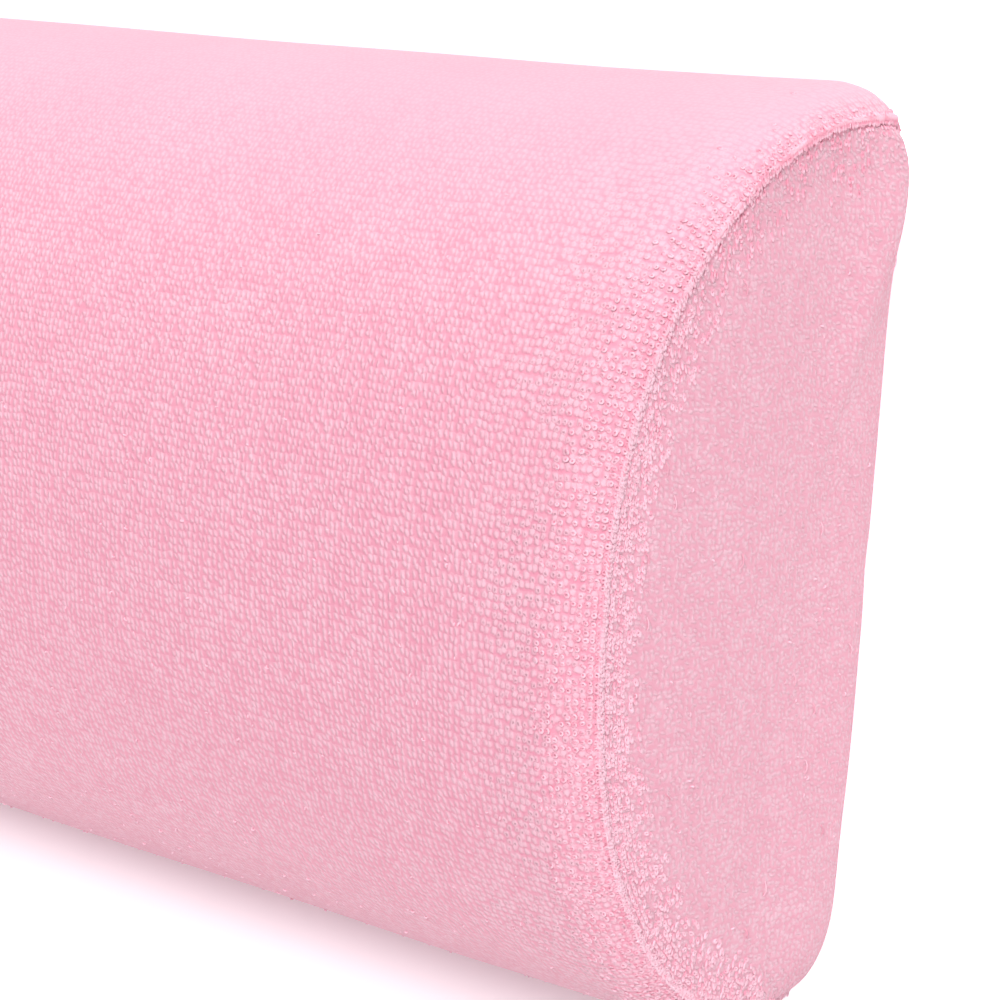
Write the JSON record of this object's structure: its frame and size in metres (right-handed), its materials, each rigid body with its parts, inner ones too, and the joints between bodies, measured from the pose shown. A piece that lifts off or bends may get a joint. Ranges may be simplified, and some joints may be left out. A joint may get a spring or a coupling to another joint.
{
  "type": "hand rest cushion",
  "caption": "Half-round padded rest for the hand and forearm: a foam block in a sewn terry cloth cover, flat underneath, with D-shaped ends.",
  "frame": {"origin": "on the resting surface, under the middle of the cushion's box", "axes": "+X along the cushion's length towards the right end, +Y across the flat base, +Z from the flat base up to the crest of the arch"},
  "size_m": [0.3, 0.125, 0.069],
  "materials": {
    "terry": "pale pink terry towelling, matt, with fine uncut loops",
    "foam": "open-cell polyurethane foam, off-white, hidden inside the cover"
  },
  "bodies": {
    "root": {"foam_core": "foam", "cover_wrap": "terry", "end_panel_right": "terry", "end_panel_left": "terry"}
  },
  "joints": []
}
